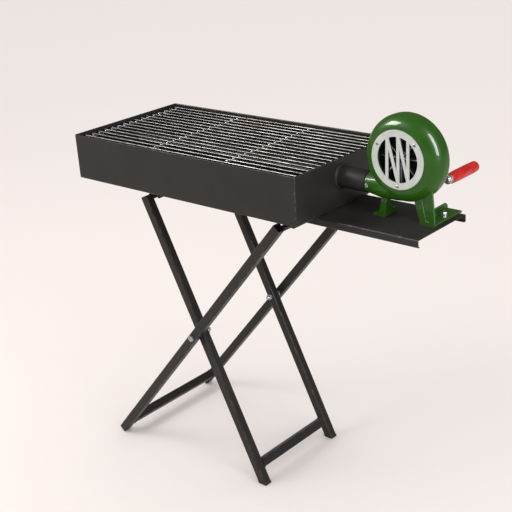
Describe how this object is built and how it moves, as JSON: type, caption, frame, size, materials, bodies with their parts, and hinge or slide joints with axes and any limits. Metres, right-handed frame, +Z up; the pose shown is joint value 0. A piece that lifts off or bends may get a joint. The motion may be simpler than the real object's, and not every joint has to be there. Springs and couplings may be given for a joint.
{
  "type": "folding charcoal forge with hand-cranked blower",
  "caption": "Long shallow fire trough with a lift-off rod grate on a folding X stand; a side shelf carries a geared hand-cranked centrifugal blower piped into the trough.",
  "frame": {"origin": "on the floor, at the middle of the forge's bounding box in X and Y", "axes": "+X along the trough towards the blower, +Y across the trough towards the crank handle, +Z up"},
  "size_m": [0.8385, 0.3122, 0.8285],
  "materials": {
    "black_paint": "satin black stove paint on steel",
    "grate_steel": "drawn bright steel rod",
    "green_enamel": "glossy green enamel",
    "guard_paint": "satin light grey paint",
    "grip_plastic": "satin red plastic",
    "foot_plastic": "matt black plastic",
    "bronze": "machined bronze",
    "impeller_metal": "stamped sheet, dull",
    "machined_steel": "machined, lightly oiled",
    "arm_plating": "dull zinc plating",
    "zinc_fasteners": "bright zinc plating"
  },
  "bodies": {
    "forge": {"fire_trough": "black_paint", "grate_ledge_front": "black_paint", "grate_ledge_back": "black_paint", "wall_collar": "black_paint", "air_pipe": "black_paint", "pipe_sleeve": "black_paint", "air_tube": "black_paint", "air_tube_cap": "black_paint", "air_tube_saddles": "black_paint", "blower_shelf": "black_paint", "shelf_bolts": "zinc_fasteners", "shelf_nuts": "zinc_fasteners", "hinge_clips": "black_paint", "rest_brackets": "black_paint", "bracket_screws": "zinc_fasteners", "blower_casing": "green_enamel", "casing_back_plate": "green_enamel", "casing_screws": "zinc_fasteners", "intake_guard": "guard_paint", "guard_screws": "zinc_fasteners", "left_foot": "green_enamel", "right_foot": "green_enamel", "foot_bolts": "zinc_fasteners", "foot_nuts": "zinc_fasteners", "spout_screw": "zinc_fasteners", "fan_bush": "bronze", "crank_bush": "bronze", "gear_cover": "green_enamel", "cover_screws": "zinc_fasteners"},
    "outer_frame": {"outer_leg_front": "black_paint", "outer_leg_back": "black_paint", "outer_stretcher": "black_paint", "outer_top_rod": "black_paint", "pivot_bolts": "zinc_fasteners", "pivot_nuts": "zinc_fasteners", "pivot_spacers": "zinc_fasteners"},
    "inner_frame": {"inner_leg_front": "black_paint", "inner_leg_back": "black_paint", "inner_stretcher": "black_paint", "inner_top_rod": "black_paint", "inner_foot_caps": "foot_plastic"},
    "grate": {"grate_rods": "grate_steel", "grate_cross_bars": "grate_steel"},
    "fan": {"impeller": "impeller_metal", "impeller_nut": "zinc_fasteners", "fan_shaft": "machined_steel", "fan_pinion": "machined_steel"},
    "idler": {"idler_shaft": "machined_steel", "idler_gear": "machined_steel", "idler_pinion": "machined_steel"},
    "crank": {"crank_shaft": "machined_steel", "crank_gear": "machined_steel", "crank_arm": "arm_plating", "crank_nut": "zinc_fasteners", "handle_pin": "machined_steel", "handle_washer": "arm_plating"},
    "grip": {"handle_grip": "grip_plastic"}
  },
  "joints": [
    {"name": "stand_fold", "type": "hinge", "parent": "forge", "child": "outer_frame", "pos_m": [0.1304, -0.00035, 0.6069], "axis": [0, 1, 0], "range_deg": [0, 49.2]},
    {"name": "cross_pivot", "type": "hinge", "parent": "outer_frame", "child": "inner_frame", "pos_m": [-0.11725, -0.00035, 0.32], "axis": [0, 1, 0], "range_deg": [-114.2, 0]},
    {"name": "grate_lift", "type": "slide", "parent": "forge", "child": "grate", "axis": [0, 0, 1], "range_m": [0, 0.2]},
    {"name": "crank_turn", "type": "hinge", "parent": "forge", "child": "crank", "pos_m": [0.30475, 0.04715, 0.749], "axis": [0, 1, 0], "continuous": true},
    {"name": "idler_spin", "type": "hinge", "parent": "forge", "child": "idler", "pos_m": [0.33186, 0.03715, 0.77268], "axis": [0, 1, 0], "continuous": true},
    {"name": "fan_spin", "type": "hinge", "parent": "forge", "child": "fan", "pos_m": [0.33575, -0.00285, 0.749], "axis": [0, 1, 0], "continuous": true},
    {"name": "grip_spin", "type": "hinge", "parent": "crank", "child": "grip", "pos_m": [0.37959, 0.10615, 0.69212], "axis": [0, 1, 0], "continuous": true}
  ],
  "couplings": [
    {"joint": "cross_pivot", "follows": "stand_fold", "ratio": -2.3211},
    {"joint": "idler_spin", "follows": "crank_turn", "ratio": -5},
    {"joint": "fan_spin", "follows": "crank_turn", "ratio": 20}
  ]
}
